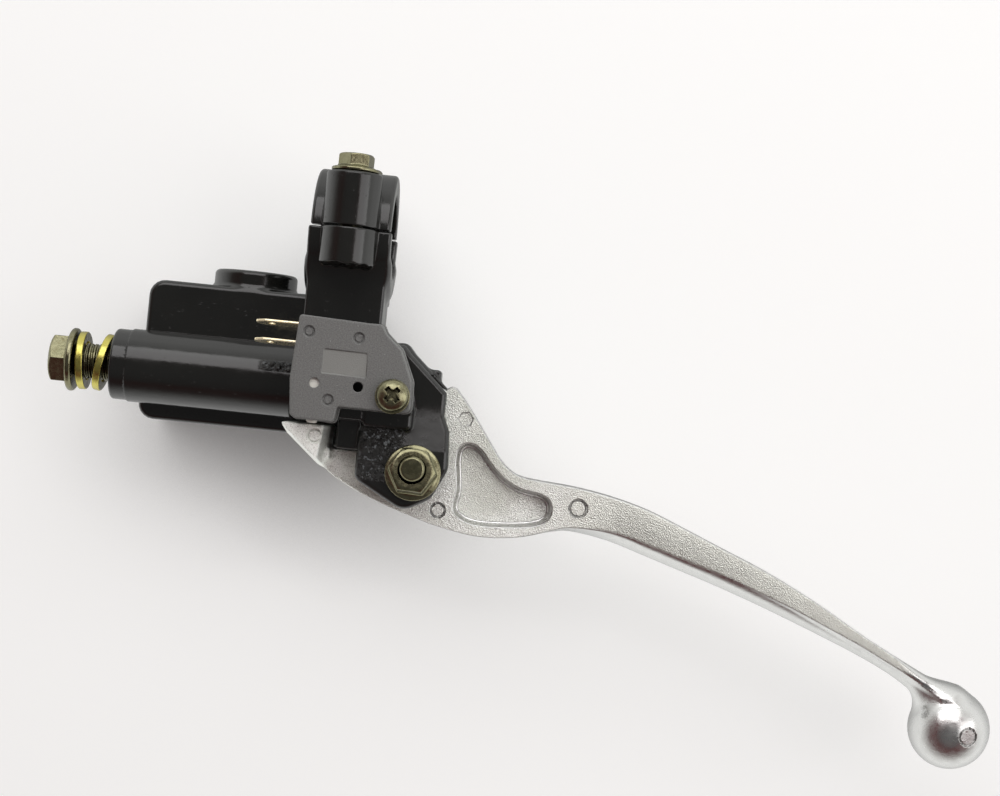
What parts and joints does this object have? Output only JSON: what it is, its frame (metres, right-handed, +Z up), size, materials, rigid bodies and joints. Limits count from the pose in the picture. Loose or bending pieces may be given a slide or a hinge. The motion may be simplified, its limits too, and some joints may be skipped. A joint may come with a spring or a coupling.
{
  "type": "brake master cylinder",
  "caption": "Right-hand handlebar brake master cylinder with reservoir, bar clamp, cast lever, hose bolt and brake-light switch.",
  "frame": {"origin": "centre of the handlebar clamp's bore", "axes": "+X outboard along the handlebar, +Y forward away from the rider, +Z up through the reservoir cover"},
  "size_m": [0.2586, 0.1451, 0.0611],
  "materials": {
    "black_paint": "gloss black enamel over die-cast aluminium",
    "cast_alloy": "blasted faces with polished edges",
    "yellow_zinc": "olive passivated zinc plate",
    "gold_washer": "gold anodised",
    "brass": "stamped strip",
    "spring_steel": "plain",
    "anodised_alloy": "turned and anodised",
    "black_rubber": "matt",
    "grey_plastic": "fine spark-eroded texture",
    "black_plastic": "moulded",
    "nylon": "moulded",
    "clear_lens": "clear"
  },
  "bodies": {
    "root": {"cylinder_body": "black_paint", "reservoir_cover": "black_paint", "cover_screw_1": "yellow_zinc", "cover_screw_2": "yellow_zinc", "diaphragm_plate": "black_plastic", "diaphragm": "black_rubber", "sight_glass": "clear_lens", "sight_glass_gasket": "black_rubber", "sight_glass_ring": "black_plastic", "clamp_cap": "black_paint", "clamp_bolt_lower": "yellow_zinc", "clamp_bolt_upper": "yellow_zinc", "hose_bolt": "yellow_zinc", "crush_washer_outer": "gold_washer", "crush_washer_inner": "gold_washer", "return_spring": "spring_steel", "stop_washer": "spring_steel", "snap_ring": "spring_steel", "dust_boot": "black_rubber", "pivot_bolt": "yellow_zinc", "pivot_nut": "yellow_zinc", "switch_cover": "grey_plastic", "switch_base": "grey_plastic", "switch_washer": "yellow_zinc", "switch_screw": "yellow_zinc", "switch_terminal_front": "brass", "switch_terminal_rear": "brass", "plunger_spring": "spring_steel"},
    "lever": {"brake_lever": "cast_alloy"},
    "piston": {"piston": "anodised_alloy", "primary_cup": "black_rubber", "secondary_cup": "black_rubber", "spring_seat": "nylon"},
    "plunger": {"switch_plunger": "nylon", "contact_bridge": "brass"}
  },
  "joints": [
    {"name": "lever_pivot", "type": "hinge", "parent": "root", "child": "lever", "pos_m": [0.0224, 0.0602, 0], "axis": [0, 0, -1], "range_deg": [0, 17.5], "stiffness_Nm_per_rad": 0.6, "springref_deg": -5.73},
    {"name": "piston_slide", "type": "slide", "parent": "root", "child": "piston", "axis": [-1, 0, 0], "range_m": [0, 0.0059], "deforming": ["return_spring", "dust_boot"]},
    {"name": "plunger_slide", "type": "slide", "parent": "root", "child": "plunger", "axis": [0, 1, 0], "range_m": [0, 0.0023], "deforming": ["plunger_spring"]}
  ],
  "couplings": [
    {"joint": "piston_slide", "follows": "lever_pivot", "m_per_rad": 0.0192},
    {"joint": "plunger_slide", "follows": "lever_pivot", "m_per_rad": 0.0075}
  ]
}
